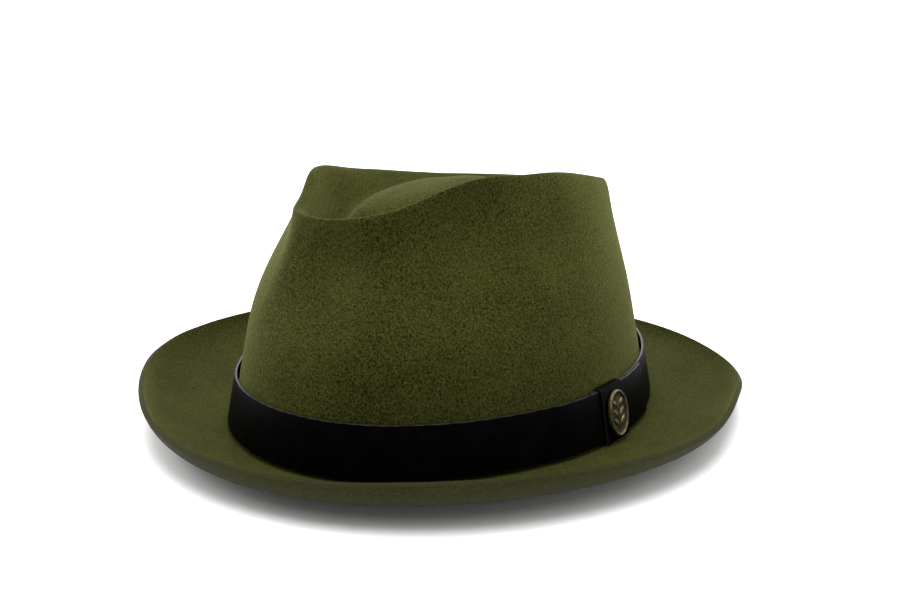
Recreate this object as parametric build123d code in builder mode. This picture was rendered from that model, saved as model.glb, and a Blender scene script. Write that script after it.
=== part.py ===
"""Short-brim felt hat with a teardrop crown, a leather band with a sliding keeper, and its
inner sweatband and lining. Millimetres, +Z up, front towards -Y, the wearer's left side +X.
The origin is the middle of the footprint, on the surface that the brim rests on."""

from build123d import *
from math import atan, atan2, cos, degrees, exp, hypot, pi, radians, sin, sqrt
import os

# Felt body
crown_half_length = 105.0    # outside of the felt at the brim break, front to back
crown_half_width = 87.0      # the same, side to side
crown_end_radius = 74.0      # front and back arcs of the four-arc head oval
wall_lean = 0.19             # inward lean of the lower wall, per millimetre of height
cone_height = 49.0           # height of the plainly leaning part of the wall
felt_thickness = 2.3
brim_front_reach = 141.0     # from the axis to the brim edge
brim_back_reach = 137.0
brim_half_width = 132.5
brim_curl = 14.2             # mean rise of the brim edge above the brim break
brim_curl_waves = (4.8, -1.5, -1.0, -0.75)  # rise in one, two, three and four waves around
brim_drop = 0.6              # the brim leaves the break this far below it
rim_front = 87.0             # reach of the crown's top edge to the front
rim_back = 85.0
rim_half_width = 53.0
rim_height_front = 97.0      # heights of the top edge above the brim break
rim_height_side = 106.5
rim_height_back = 94.0
rim_lift = 6.5               # extra height of the top edge beside the front pinch
rim_lift_angle = 50.0        # degrees either side of the front
rim_lift_width = 24.0
trough_height_front = 74.0   # floor of the teardrop dent
trough_height_side = 93.0
trough_height_back = 88.0
dome_height = 103.0          # top of the dome inside the dent
tip_radius = 5.0             # flat spot at the very middle of the dome
pinch_depth = 12.0           # how far the front sides are pinched in
pinch_angle = 30.0           # degrees either side of the front
pinch_width = 15.0
side_dent_depth = 3.5        # shallow hollow below the top edge, at each side
side_dent_angle = 80.0
side_dent_width = 24.0

# Band, keeper and badge
band_thickness = 1.2
band_height = 21.5
band_low = 1.6               # lower edge of the band above the brim break
tail_gap = 0.1               # between the inner end of the band and its overlapping tail
slit = 0.5                   # clearance at the inner end
slit_before_keeper = 6.0     # degrees
step_bevel = 0.9             # skived edge where the tail starts
keeper_angle = 4.0           # degrees behind the middle of the left side
keeper_width = 17.0
keeper_front = 1.2
keeper_back = 0.6
keeper_edge = 0.7
running_gap = 0.3            # keeper to band and to felt
overlap_start = -11.0        # the tail lies over the band between these angles
overlap_end = 21.0
badge_width = 14.0
badge_height = 20.0
badge_plate = 1.1
badge_rim = 1.1
badge_relief = 0.7
badge_seat = 0.05
sprig_stem = 0.7
sprig_height = 14.0
sprig_leaf = (2.8, 1.05)     # half length and half width of a leaf
sprig_leaf_spacing = 4.0
sprig_leaf_reach = 2.4       # from the stem to the middle of a leaf
prong_radius = 0.6
prong_spacing = 11.0
tack_radius = 0.5
tack_angles = (60, 150, 210, 300)   # degrees from the front
tack_drop = 4.0              # below the band's upper edge

# Sweatband and lining
sweat_thickness = 0.9
sweat_height = 34.0
sweat_low = 4.2
binding_thickness = 0.4
binding_height = 9.0
binding_low = 1.8
reed_radius = 0.7
inner_gap = 0.9
layer_gap = 0.1
thread_radius = 0.25
thread_height = 7.5          # the row of stitches above the brim break
tape_width = 9.0
tape_thickness = 0.3
tape_clearance = 1.0         # above the binding
seam_gap = 0.6
bow_loop = 11.0
bow_height = 5.0
bow_ribbon = 0.6
bow_knot = 3.0
bow_tilt = 8.0
bow_rise = 5.0               # above the stitches
lining_thickness = 0.4
lining_gap = 0.2
lining_low = 29.0            # lower edge, tucked behind the sweatband
lining_bend = 40.0           # where it leaves the felt wall
lining_high = 66.0
lining_draw = 17.0           # how far its top edge is drawn in from the leaning wall

# Four tangent arcs make the head oval: the side arcs are centred on the X axis and the end
# arcs on the Y axis, so every offset of the oval keeps the same centres.
end_centre = crown_half_length - crown_end_radius
side_radius = (crown_half_width**2 + end_centre**2 - crown_end_radius**2) / (
    2 * (crown_half_width - crown_end_radius)
)
side_centre = side_radius - crown_half_width
joint_angle = degrees(atan2(end_centre, side_centre))

# Radial stack outside the felt, as offsets from the felt surface
keeper_inside = running_gap
band_inside = keeper_inside + keeper_back + running_gap
band_outside = band_inside + band_thickness
tail_inside = band_outside + tail_gap
tail_outside = tail_inside + band_thickness
keeper_window = tail_outside + running_gap
keeper_outside = keeper_window + keeper_front
band_high = band_low + band_height

# Radial stack inside the felt, as depths from the felt's outer surface
binding_depth = felt_thickness + inner_gap
sweat_depth = binding_depth + binding_thickness + layer_gap
sweat_inside = sweat_depth + sweat_thickness


# ---------------------------------------------------------------- felt surface
def oval_reach(turn, offset):
    """Distance from the axis to the head oval, at an angle from the front."""
    across, along = abs(sin(turn)), abs(cos(turn))
    reach_side = side_radius + offset
    joint_x = -side_centre + reach_side * cos(radians(joint_angle))
    joint_y = reach_side * sin(radians(joint_angle))
    if along * joint_x <= across * joint_y:
        shift = -side_centre * across
        return shift + sqrt(reach_side**2 - side_centre**2 + shift**2)
    shift = end_centre * along
    reach_end = crown_end_radius + offset
    return shift + sqrt(reach_end**2 - end_centre**2 + shift**2)


def ellipse_reach(turn, front, back, side, power=2.0):
    """Distance from the axis to an egg-shaped ring."""
    length = front if cos(turn) > 0 else back
    squareness = 2.0 if cos(turn) > 0 else power
    along = (abs(cos(turn)) / length) ** squareness
    across = (abs(sin(turn)) / side) ** squareness
    return (along + across) ** (-1 / squareness)


def spread(turn, front, side, back):
    """A height that changes smoothly from the front over the side to the back."""
    end = front if cos(turn) > 0 else back
    return side + (end - side) * cos(turn) ** 2


def bump(turn, middle, width):
    """One swelling on each side of the hat, at an angle in degrees from the front."""
    from_front = degrees(atan2(abs(sin(turn)), cos(turn)))
    return exp(-(((from_front - middle) / width) ** 2))


def control_rings(turn):
    """Reach and height of each ring that steers the felt, from brim edge to crown tip."""
    base = oval_reach(turn, 0)
    brim = ellipse_reach(turn, brim_front_reach, brim_back_reach, brim_half_width)
    rise = brim_curl
    for waves, size in enumerate(brim_curl_waves, 1):
        rise += size * cos(waves * turn)
    rings = []
    for share, lift in ((1, 1), (0.965, 0.8), (0.88, 0.56), (0.70, 0.32), (0.45, 0.13), (0.2, 0.02)):
        rings.append((base + share * (brim - base), lift * rise - (1 - lift) * brim_drop))
    rings.append((base + 2.5, -brim_drop))
    rings.append((base, -brim_drop))
    for height in (3.0, cone_height / 3, 2 * cone_height / 3, cone_height):
        rings.append((oval_reach(turn, -wall_lean * height), height))

    top = spread(turn, rim_height_front, rim_height_side, rim_height_back)
    top += rim_lift * bump(turn, rim_lift_angle, rim_lift_width)
    rim = ellipse_reach(turn, rim_front, rim_back, rim_half_width, 2.5)
    for level, share, pinch, dent in ((0.60, 0.06, 0.35, 0.5), (0.73, 0.23, 0.8, 1.0),
                                      (0.86, 0.54, 1.0, 0.6), (0.95, 0.84, 0.75, 0.0)):
        height = level * top
        wall = oval_reach(turn, -wall_lean * height)
        reach = wall + share * (rim - wall)
        reach -= pinch * pinch_depth * bump(turn, pinch_angle, pinch_width)
        reach -= dent * side_dent_depth * bump(turn, side_dent_angle, side_dent_width)
        rings.append((reach, height))
    rim -= 0.45 * pinch_depth * bump(turn, pinch_angle - 2, pinch_width + 5)
    rings.append((rim, top + 1.5))
    rings.append((0.91 * rim, top - 1.0))
    trough = spread(turn, trough_height_front, trough_height_side, trough_height_back)
    rings.append((0.80 * rim, trough + 0.45 * (top - trough)))
    rings.append((0.66 * rim, trough))
    rings.append((0.46 * rim, trough + 0.55 * (dome_height - trough)))
    rings.append((0.25 * rim, dome_height - 1.5))
    rings.append((2 * tip_radius, dome_height))
    rings.append((tip_radius, dome_height))
    return rings


def blend(rings, place):
    """Point of the clamped cubic B-spline steered by the rings, place counted in rings."""
    padded = [rings[0], rings[0]] + rings + [rings[-1], rings[-1]]
    step = min(int(place), len(rings) - 1)
    part = place - step
    weights = ((1 - part)**3, 3 * part**3 - 6 * part**2 + 4,
               -3 * part**3 + 3 * part**2 + 3 * part + 1, part**3)
    group = padded[step + 1:step + 5]
    return tuple(sum(w * ring[axis] for w, ring in zip(weights, group)) / 6 for axis in (0, 1))


ring_count = len(control_rings(0))
section_count = 24           # profiles lofted around half of the hat
points_per_ring = 2


def felt_point(turn, place):
    reach, height = blend(control_rings(turn), place)
    return Vector(reach * sin(turn), -reach * cos(turn), height)


def inset_point(turn, place, depth):
    """Point below the outer felt surface, measured square to it."""
    if depth == 0:
        return felt_point(turn, place)
    nudge = 1e-3
    low, high = max(place - nudge, 0), min(place + nudge, ring_count - 1)
    along = felt_point(turn, high) - felt_point(turn, low)
    around = felt_point(turn + nudge, place) - felt_point(turn - nudge, place)
    normal = around.cross(along).normalized()
    return felt_point(turn, place) - normal * depth


def half_sheet(depth):
    """Left half of the felt surface, or of a copy inside it."""
    last = ring_count - 1
    count = last * points_per_ring
    shares = [k / count for k in range(count + 1)]
    sections = []
    for section in range(section_count + 1):
        turn = pi * section / section_count
        points = [inset_point(turn, share * last, depth) for share in shares]
        if section in (0, section_count):
            points = [Vector(0, point.Y, point.Z) for point in points]
        sections.append(Wire([Edge.make_spline(points, parameters=shares)]))
    return Shell.make_loft(sections).faces()[0]


def reach_of(edge):
    """Distance from the axis to the middle of an edge, or zero for a centre-line edge."""
    middle = edge @ 0.5
    return hypot(middle.X, middle.Y) if middle.X > 1 else 0.0


def felt_shell():
    """Closed solid between the outer felt surface and its copy one thickness inside."""
    halves = [half_sheet(depth) for depth in (0, felt_thickness)]
    faces = list(halves)
    outer_edges, inner_edges = (half.edges().sort_by(reach_of) for half in halves)
    faces.append(Face.make_surface_from_curves(outer_edges[-1], inner_edges[-1]))
    for tip in (outer_edges[-2], inner_edges[-2]):
        faces.append(Face(Wire([tip, Edge.make_line(tip @ 1, tip @ 0)])))
    return Solid(Shell(faces + [face.mirror(Plane.YZ) for face in faces]))


# The brim rests on the ring of its underside just outside the break.
rest_height = -min(
    inset_point(pi * part / 36, ring / 8, felt_thickness).Z
    for part in range(37) for ring in range(4 * 8, 9 * 8)
)

# The brim is longer in front, so the footprint's middle lies off the crown's axis.
footprint_middle = sum(inset_point(turn, 0, felt_thickness).Y for turn in (0, pi)) / 2


# ---------------------------------------------------------------- leaning sleeves
def sleeve(inner, outer, low, high):
    """Wall between two offsets of the leaning head oval."""
    with BuildPart(mode=Mode.PRIVATE) as wall:
        for offset, mode in ((outer, Mode.ADD), (inner, Mode.SUBTRACT)):
            for height in (low, high):
                with BuildSketch(Plane.XY.offset(height)):
                    with BuildLine():
                        oval_outline(offset - wall_lean * height)
                    make_face()
            loft(ruled=True, mode=mode)
    return wall.part


def oval_outline(offset):
    """The four arcs of the head oval, in the open line."""
    side, end = side_radius + offset, crown_end_radius + offset
    CenterArc((-side_centre, 0), side, -joint_angle, 2 * joint_angle)
    CenterArc((0, end_centre), end, joint_angle, 180 - 2 * joint_angle)
    CenterArc((side_centre, 0), side, 180 - joint_angle, 2 * joint_angle)
    CenterArc((0, -end_centre), end, 180 + joint_angle, 180 - 2 * joint_angle)


def sector(start, end, low, high):
    """Wedge about the left side arc's axis, between two angles from the side's middle."""
    reach = 2 * side_radius
    with BuildPart(mode=Mode.PRIVATE) as wedge:
        with BuildSketch(Plane.XY.offset(low)):
            with BuildLine():
                Polyline(
                    (-side_centre, 0),
                    (reach * cos(radians(start)) - side_centre, reach * sin(radians(start))),
                    (reach * cos(radians(end)) - side_centre, reach * sin(radians(end))),
                    close=True,
                )
            make_face()
        extrude(amount=high - low)
    return wedge.part


def sleeve_sector(inner, outer, low, high, start, end):
    """Part of a leaning sleeve on the left side, between two angles."""
    with BuildPart(mode=Mode.PRIVATE) as piece:
        add(sleeve(inner, outer, low, high))
        add(sector(start, end, low, high), mode=Mode.INTERSECT)
    return piece.part


def reach_from_side(edge):
    """Distance of an edge's middle from the left side arc's axis."""
    middle = edge @ 0.5
    return hypot(middle.X + side_centre, middle.Y)


def turn_of(edge):
    """Angle of an edge's middle about the left side arc's axis."""
    middle = edge @ 0.5
    return degrees(atan2(middle.Y, middle.X + side_centre))


def stands(edge):
    """Whether an edge runs most of the band's height."""
    return abs((edge @ 1).Z - (edge @ 0).Z) > 0.9 * band_height


def finish(builder, label):
    """Stand the piece on the rest plane over the footprint's middle, name it and write it."""
    piece = Pos(0, -footprint_middle, rest_height) * builder.part
    piece.label = label
    export_step(piece, f"parts/{label}.step")


os.makedirs("parts", exist_ok=True)

# ---------------------------------------------------------------- felt body
with BuildPart() as felt_body:
    add(felt_shell())
finish(felt_body, "felt_body")

# ---------------------------------------------------------------- band
# The strap goes once round the crown, then steps out over its own inner end.
slit_angle = keeper_angle - slit_before_keeper
slit_turn = degrees(slit / (side_radius + band_outside))
with BuildPart() as hat_band:
    add(sleeve(band_inside, band_outside, band_low, band_high))
    add(sector(slit_angle, slit_angle + slit_turn, band_low, band_high), mode=Mode.SUBTRACT)
    add(sleeve_sector(band_outside, tail_inside, band_low, band_high,
                      overlap_start, slit_angle))
    add(sleeve_sector(tail_inside, tail_outside, band_low, band_high,
                      overlap_start, overlap_end))
    step_edges = hat_band.edges().filter_by(
        lambda edge: abs(turn_of(edge) - overlap_start) < 0.05 and stands(edge)
    )
    chamfer(step_edges.sort_by(reach_from_side)[-1], step_bevel)
finish(hat_band, "hat_band")

# ---------------------------------------------------------------- keeper
# A flat leather loop round both layers of the band, with a thin back behind the band.
keeper_half_turn = degrees(keeper_width / 2 / (side_radius + keeper_outside))
keeper_start, keeper_end = keeper_angle - keeper_half_turn, keeper_angle + keeper_half_turn
window_low, window_high = band_low - running_gap, band_high + running_gap
keeper_low, keeper_high = window_low - keeper_edge, window_high + keeper_edge
badge_height_up = (band_low + band_high) / 2
lean_angle = atan(wall_lean)
badge_reach = side_radius + keeper_outside - wall_lean * badge_height_up
badge_plane = Plane(
    origin=(badge_reach * cos(radians(keeper_angle)) - side_centre,
            badge_reach * sin(radians(keeper_angle)), badge_height_up),
    x_dir=(-sin(radians(keeper_angle)), cos(radians(keeper_angle)), 0),
    z_dir=(cos(lean_angle) * cos(radians(keeper_angle)),
           cos(lean_angle) * sin(radians(keeper_angle)), sin(lean_angle)),
)
with BuildPart() as band_keeper:
    add(sleeve_sector(keeper_inside, keeper_outside, keeper_low, keeper_high,
                      keeper_start, keeper_end))
    add(sleeve_sector(keeper_inside + keeper_back, keeper_window, window_low, window_high,
                      keeper_start - 1, keeper_end + 1), mode=Mode.SUBTRACT)
    with BuildSketch(badge_plane):
        with Locations((0, -prong_spacing / 2), (0, prong_spacing / 2)):
            Circle(prong_radius + layer_gap)
    extrude(amount=-keeper_front - running_gap / 2, mode=Mode.SUBTRACT)
finish(band_keeper, "band_keeper")

# ---------------------------------------------------------------- badge
# An oval cast badge: plate, raised rim, a plain sprig in relief, and two prongs behind.
with BuildPart() as badge:
    with BuildSketch(badge_plane.offset(badge_seat)):
        Ellipse(badge_width / 2, badge_height / 2)
    extrude(amount=badge_plate)
    with BuildSketch(badge_plane.offset(badge_seat + badge_plate)):
        Ellipse(badge_width / 2, badge_height / 2)
        Ellipse(badge_width / 2 - badge_rim, badge_height / 2 - badge_rim, mode=Mode.SUBTRACT)
    extrude(amount=badge_relief)
    with BuildSketch(badge_plane.offset(badge_seat + badge_plate)):
        Rectangle(sprig_stem, sprig_height)
        for level in (-1, 0, 1):
            for side in (-1, 1):
                with Locations(Location((side * sprig_leaf_reach, level * sprig_leaf_spacing),
                                        (0, 0, 90 - side * 55))):
                    Ellipse(*sprig_leaf)
    extrude(amount=0.8 * badge_relief)
    with BuildSketch(badge_plane.offset(badge_seat)):
        with Locations((0, -prong_spacing / 2), (0, prong_spacing / 2)):
            Circle(prong_radius)
    extrude(amount=-badge_seat - keeper_front)
finish(badge, "badge")

# ---------------------------------------------------------------- band tacks
# Short thread tacks between the felt and the back of the band.
with BuildPart() as band_tacks:
    for angle in tack_angles:
        height = band_high - tack_drop
        reach = oval_reach(radians(angle), -wall_lean * height)
        outward = (sin(radians(angle)), -cos(radians(angle)), 0)
        start = Vector(*outward) * (reach + layer_gap) + Vector(0, 0, height)
        with BuildSketch(Plane(origin=start, z_dir=outward)):
            Circle(tack_radius)
        extrude(amount=band_inside - 2.5 * layer_gap)
finish(band_tacks, "band_tacks")

# ---------------------------------------------------------------- sweatband
with BuildPart() as sweatband:
    add(sleeve(-sweat_inside, -sweat_depth, sweat_low, sweat_low + sweat_height))
    with Locations((0, crown_half_length - sweat_inside, sweat_low + sweat_height / 2)):
        Box(seam_gap, 6 * sweat_thickness + wall_lean * sweat_height, 2 * sweat_height,
            mode=Mode.SUBTRACT)
finish(sweatband, "sweatband")

# ---------------------------------------------------------------- reed and its binding
# The binding is a cloth tube round the reed with a flange up behind the sweatband.
tube_radius = reed_radius + layer_gap / 2 + binding_thickness
tube_depth = binding_depth + tube_radius
with BuildPart() as reed_binding:
    with BuildLine(Plane.XY.offset(binding_low)) as tube_line:
        oval_outline(-tube_depth - wall_lean * binding_low)
    with BuildSketch(Plane(origin=tube_line.line @ 0, z_dir=tube_line.line % 0)):
        Circle(tube_radius)
    sweep(path=tube_line.line)
    add(sleeve(-binding_depth - binding_thickness, -binding_depth, binding_low,
               binding_low + binding_height))
    with BuildSketch(Plane(origin=tube_line.line @ 0, z_dir=tube_line.line % 0)):
        Circle(reed_radius + layer_gap / 2)
    sweep(path=tube_line.line, mode=Mode.SUBTRACT)
finish(reed_binding, "reed_binding")

with BuildPart() as sweatband_reed:
    with BuildLine(Plane.XY.offset(binding_low)) as reed_line:
        oval_outline(-tube_depth - wall_lean * binding_low)
    with BuildSketch(Plane(origin=reed_line.line @ 0, z_dir=reed_line.line % 0)):
        Circle(reed_radius)
    sweep(path=reed_line.line)
finish(sweatband_reed, "sweatband_reed")

# ---------------------------------------------------------------- stitching
# One row of thread that holds the sweatband to the binding.
with BuildPart() as sweatband_stitching:
    with BuildLine(Plane.XY.offset(thread_height)) as thread_line:
        oval_outline(-sweat_inside - layer_gap - thread_radius - wall_lean * thread_height)
    with BuildSketch(Plane(origin=thread_line.line @ 0, z_dir=thread_line.line % 0)):
        Circle(thread_radius)
    sweep(path=thread_line.line)
finish(sweatband_stitching, "sweatband_stitching")

# ---------------------------------------------------------------- seam tape and bow
def back_plane(depth, height):
    """Upright plane across the back of the hat, leaning with the wall, facing forwards."""
    return Plane(
        origin=(0, crown_half_length - depth - wall_lean * height, height),
        x_dir=(-1, 0, 0),
        z_dir=(0, -cos(lean_angle), -sin(lean_angle)),
    )


tape_low = binding_low + binding_height + tape_clearance
tape_high = sweat_low + sweat_height
with BuildPart() as sweatband_seam_tape:
    with BuildSketch(back_plane(sweat_depth - layer_gap, (tape_low + tape_high) / 2)):
        Rectangle(tape_width, tape_high - tape_low)
    extrude(amount=-tape_thickness)
finish(sweatband_seam_tape, "sweatband_seam_tape")

bow_depth = sweat_inside + 4 * thread_radius
with BuildPart() as sweatband_bow:
    with BuildSketch(back_plane(bow_depth, thread_height + bow_rise)):
        for side in (-1, 1):
            with Locations(Location((side * bow_loop / 2, 0), (0, 0, side * bow_tilt))):
                Ellipse(bow_loop / 2, bow_height / 2)
                Ellipse(bow_loop / 2 - 2 * bow_ribbon, bow_height / 2 - 2 * bow_ribbon,
                        mode=Mode.SUBTRACT)
        Rectangle(bow_knot, bow_knot)
    extrude(amount=2 * bow_ribbon)
finish(sweatband_bow, "sweatband_bow")

# ---------------------------------------------------------------- lining
# The side piece follows the wall, then draws in to the flat oval tip.
lining_outer = -felt_thickness - lining_gap
lining_stations = ((0, lining_low), (0, lining_bend), (-lining_draw, lining_high))
with BuildPart() as lining_side:
    for inward, mode in ((0, Mode.ADD), (-lining_thickness, Mode.SUBTRACT)):
        for draw, height in lining_stations:
            with BuildSketch(Plane.XY.offset(height)):
                with BuildLine():
                    oval_outline(lining_outer + inward + draw - wall_lean * height)
                make_face()
        loft(ruled=True, mode=mode)
finish(lining_side, "lining_side")

with BuildPart() as lining_tip:
    with BuildSketch(Plane.XY.offset(lining_high + layer_gap)):
        with BuildLine():
            oval_outline(lining_outer - lining_draw - wall_lean * lining_high)
        make_face()
    extrude(amount=lining_thickness)
finish(lining_tip, "lining_tip")
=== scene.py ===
"""A short-brim wool felt hat with a teardrop crown: its felt, leather band, keeper, brass
badge, sweatband and lining, finished around the fixed frame. Lengths are in millimetres
until a point is placed; the front is -Y and the wearer's left is +X."""

from math import atan, atan2, cos, degrees, exp, pi, radians, sin, sqrt

import bpy
from mathutils import Matrix, Vector, noise


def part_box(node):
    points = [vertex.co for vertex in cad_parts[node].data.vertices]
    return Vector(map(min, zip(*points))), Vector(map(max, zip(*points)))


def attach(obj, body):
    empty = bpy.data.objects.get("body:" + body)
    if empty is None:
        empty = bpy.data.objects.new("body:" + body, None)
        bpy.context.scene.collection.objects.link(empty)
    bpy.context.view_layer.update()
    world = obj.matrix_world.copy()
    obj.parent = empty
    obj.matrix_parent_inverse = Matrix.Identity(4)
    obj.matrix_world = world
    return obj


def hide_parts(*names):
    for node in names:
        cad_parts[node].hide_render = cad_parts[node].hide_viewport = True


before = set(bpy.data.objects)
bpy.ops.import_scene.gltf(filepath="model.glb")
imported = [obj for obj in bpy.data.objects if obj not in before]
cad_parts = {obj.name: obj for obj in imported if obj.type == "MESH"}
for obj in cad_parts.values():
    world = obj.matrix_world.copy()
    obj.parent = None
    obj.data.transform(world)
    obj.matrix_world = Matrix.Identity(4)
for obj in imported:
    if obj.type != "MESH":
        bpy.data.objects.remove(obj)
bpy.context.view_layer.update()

MM = 0.001

# ------------------------------------------------------------------ sizes
crown_half_length = 105.0    # outside of the felt at the brim break
crown_half_width = 87.0
crown_end_radius = 74.0
wall_lean = 0.19             # inward lean of the wall, per millimetre of height
cone_height = 49.0
felt_thickness = 2.3
brim_front_reach = 141.0
brim_back_reach = 137.0
brim_half_width = 132.5
brim_curl = 14.2             # mean lift of the brim edge
brim_curl_waves = (4.8, -1.5, -1.0, -0.75)   # its changes round the hat, by waves per turn
brim_drop = 0.6
brim_rings = (               # from the edge in: share of the brim's width, share of its curl
    (1, 1), (0.965, 0.8), (0.88, 0.56), (0.70, 0.32), (0.45, 0.13), (0.2, 0.02),
)
break_step = 2.5             # the brim's last ring lies this far outside the wall
rim_front = 87.0             # top edge of the crown, round the dent
rim_back = 85.0
rim_half_width = 53.0
rim_height_front = 97.0
rim_height_side = 106.5
rim_height_back = 94.0
rim_squareness = 2.5
rim_lift = 6.5               # extra height of the top edge beside the nose
rim_lift_angle, rim_lift_width = 50, 24
trough_height_front = 74.0   # floor of the teardrop dent
trough_height_side = 93.0
trough_height_back = 88.0
dome_height = 103.0
tip_radius = 5.0
dent_rings = (               # from the rim in: reach as a share of the rim's, then its gain ahead
    (0.80, 0.08), (0.66, 0.12), (0.46, 0.19), (0.25, 0.17),
)

# Hand shaping, at angles in degrees from the front, positive to the wearer's left
left_lift = 4.0              # the crown's left side stands this much higher
right_drop = 8.5             # and its right back this much lower
right_drop_angle, right_drop_width = -120, 65
shaped_from, shaped_span = 45.0, 50.0        # the hand shapes the wall above this height
shaped_reach = 40.0          # and less and less inside this reach
nose_turn = -14.0            # the hand-pressed nose lies this far to the right of the front
nose_width = 26
nose_setback = 7.5           # the nose stands this far behind the plain crown's front
nose_crest, crest_width = 1.6, 5             # and carries a narrow crest this far out
nose_pinch = 21.0            # degrees from the nose to the bottom of each pinch
pinch_depth = 12.0
left_pinch_width, right_pinch_width = 13, 14
rim_left_pinch, rim_right_pinch = 0.30, 0.25     # shares of the pinch that reach the top edge
back_fullness = 3.0          # the top swells out a little behind the sides
back_fullness_angle, back_fullness_width = 128, 30
hollow_depth = 11.0          # broad hollow below the left top edge
hollow_angle, hollow_width = 53.0, 32.0
corner_lift = 2.5            # the brim edge lifts and draws in behind the left side
corner_angle, corner_width = 114, 13
tuck_share = 0.8             # and draws in by this share at the right of the front
tuck_angle, tuck_width = -32, 16
hand_ripple, ripple_size = 0.45, 23.0        # unevenness of hand blocking
shoulder_rings = (           # shares of: top height, way in to the rim, nose setback,
    (0.60, 0.06, 0.20, 0.35, 0.00, 0.45),    # left pinch, right pinch, hollow
    (0.73, 0.23, 0.65, 0.75, 0.10, 1.15),
    (0.86, 0.54, 1.00, 0.80, 0.25, 1.05),
    (0.95, 0.84, 1.00, 0.60, 0.35, 0.45),
)

# Band, keeper and badge, at angles in degrees about the left side arc, rearwards
band_thickness = 1.2
band_low = 1.6
band_height = 21.5
band_inside = 1.2
tail_step = 1.3
inner_end = -2.0
step_start, step_end = 343.0, 351.0          # the tail climbs onto the inner end
tail_end = 381.0
keeper_angle = 4.0
keeper_width = 17.0
keeper_inside, keeper_back = 0.3, 0.6
keeper_window, keeper_front = 4.0, 1.2
keeper_edge, running_gap = 0.7, 0.3
keeper_corner, window_corner = 1.3, 0.9
badge_width, badge_height = 14.0, 20.0
badge_seat, badge_plate, badge_rim, badge_relief = 0.05, 1.1, 1.1, 0.7
prong_radius, prong_spacing = 0.6, 11.0
prong_middle, prong_half = -0.5, 0.65        # how a prong lies through the keeper, outwards
leaf_reach, leaf_spacing, leaf_rise, leaf_tilt = 2.3, 4.0, 0.4, 48.0
leaf_half_length, leaf_shrink, leaf_half_width = 2.5, 0.25, 0.95
stem_half_width, stem_half_height, stem_depth = 0.38, 7.2, 0.55

# Sweatband, its sewing, and the lining
inner_gap, layer_gap = 0.9, 0.1
sweat_thickness, sweat_height, sweat_low = 0.9, 34.0, 4.2
binding_thickness, binding_height, binding_low = 0.4, 9.0, 1.8
reed_radius, thread_radius, thread_height = 0.7, 0.25, 7.5
stitch_length = 2.9
tape_width, tape_thickness, tape_clearance = 9.0, 0.3, 1.0
stitch_dip, stitch_shoulder = 0.75, 0.12     # how far a stitch sinks into the leather
seam_gap = 0.6
top_waver = 0.25             # unevenness of the sweatband's cut top edge
tape_gathers, gather_depth = 40, 0.04
bow_loop, bow_height, bow_ribbon, bow_rise = 11.0, 5.0, 0.6, 5.0
bow_sag = 0.15               # the loops' ends stand up by this share of their reach
knot_half_width, knot_half_depth, knot_half_height = 1.5, 0.75, 1.6
lining_thickness, lining_gap = 0.4, 0.2
lining_low, lining_bend, lining_high, lining_draw = 29.0, 40.0, 66.0, 17.0
lining_pleats, pleat_depth = 64, 1.1
lining_sag, tip_sag = 0.25, 0.5              # unevenness of the loose satin
tip_crown, tip_pucker = 2.0, 0.35
tip_cord_radius, tip_cord_inset, tip_cord_drop = 0.7, 1.4, 0.6

# The head oval is four tangent arcs, each with one normal direction per point.
end_centre = crown_half_length - crown_end_radius
side_radius = (crown_half_width**2 + end_centre**2 - crown_end_radius**2) / (
    2 * (crown_half_width - crown_end_radius)
)
side_centre = side_radius - crown_half_width
joint_angle = degrees(atan2(end_centre, side_centre))
lean_angle = atan(wall_lean)

band_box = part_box("hat_band")
break_height = band_box[0].z / MM - band_low             # the brim break above the floor
crown_middle = (band_box[0].y + band_box[1].y) / 2 / MM  # the crown's axis, behind the middle

keeper_outside = keeper_window + keeper_front
band_high = band_low + band_height
binding_depth = felt_thickness + inner_gap
sweat_depth = binding_depth + binding_thickness + layer_gap
sweat_inside = sweat_depth + sweat_thickness


# ------------------------------------------------------------------ felt surface
def oval_point(heading, offset, height):
    """Point of the leaning head oval whose outward normal has this heading, from +X."""
    turned = (heading + 180) % 360 - 180
    offset -= wall_lean * height
    if abs(turned) <= joint_angle:
        centre, radius = (-side_centre, 0), side_radius
    elif abs(turned) >= 180 - joint_angle:
        centre, radius = (side_centre, 0), side_radius
    else:
        centre, radius = (0, end_centre if turned > 0 else -end_centre), crown_end_radius
    reach = radius + offset
    return Vector((
        centre[0] + reach * cos(radians(turned)),
        centre[1] + reach * sin(radians(turned)),
        height,
    ))


def oval_reach(turn, offset):
    """Distance from the axis to the head oval, at an angle from the front."""
    across, along = abs(sin(turn)), abs(cos(turn))
    reach_side = side_radius + offset
    joint_x = -side_centre + reach_side * cos(radians(joint_angle))
    joint_y = reach_side * sin(radians(joint_angle))
    if along * joint_x <= across * joint_y:
        shift = -side_centre * across
        return shift + sqrt(reach_side**2 - side_centre**2 + shift**2)
    shift = end_centre * along
    reach_end = crown_end_radius + offset
    return shift + sqrt(reach_end**2 - end_centre**2 + shift**2)


def ellipse_reach(turn, front, back, side, power=2.0):
    """Distance to an oval from its axis; above 2, power squares off the back."""
    length = front if cos(turn) > 0 else back
    squareness = 2.0 if cos(turn) > 0 else power
    along = (abs(cos(turn)) / length) ** squareness
    across = (abs(sin(turn)) / side) ** squareness
    return (along + across) ** (-1 / squareness)


def spread(turn, front, side, back):
    """A height that changes smoothly from the front over the side to the back."""
    end = front if cos(turn) > 0 else back
    return side + (end - side) * cos(turn) ** 2


def bump_at(turn, middle, width):
    """A swelling on both sides, at an angle in degrees from the front."""
    from_front = degrees(atan2(abs(sin(turn)), cos(turn)))
    return exp(-(((from_front - middle) / width) ** 2))


def swell(turn, middle, width):
    """One swelling, at an angle in degrees from the front, positive to the wearer's left."""
    apart = (degrees(turn) - middle + 180) % 360 - 180
    return exp(-((apart / width) ** 2))


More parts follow.
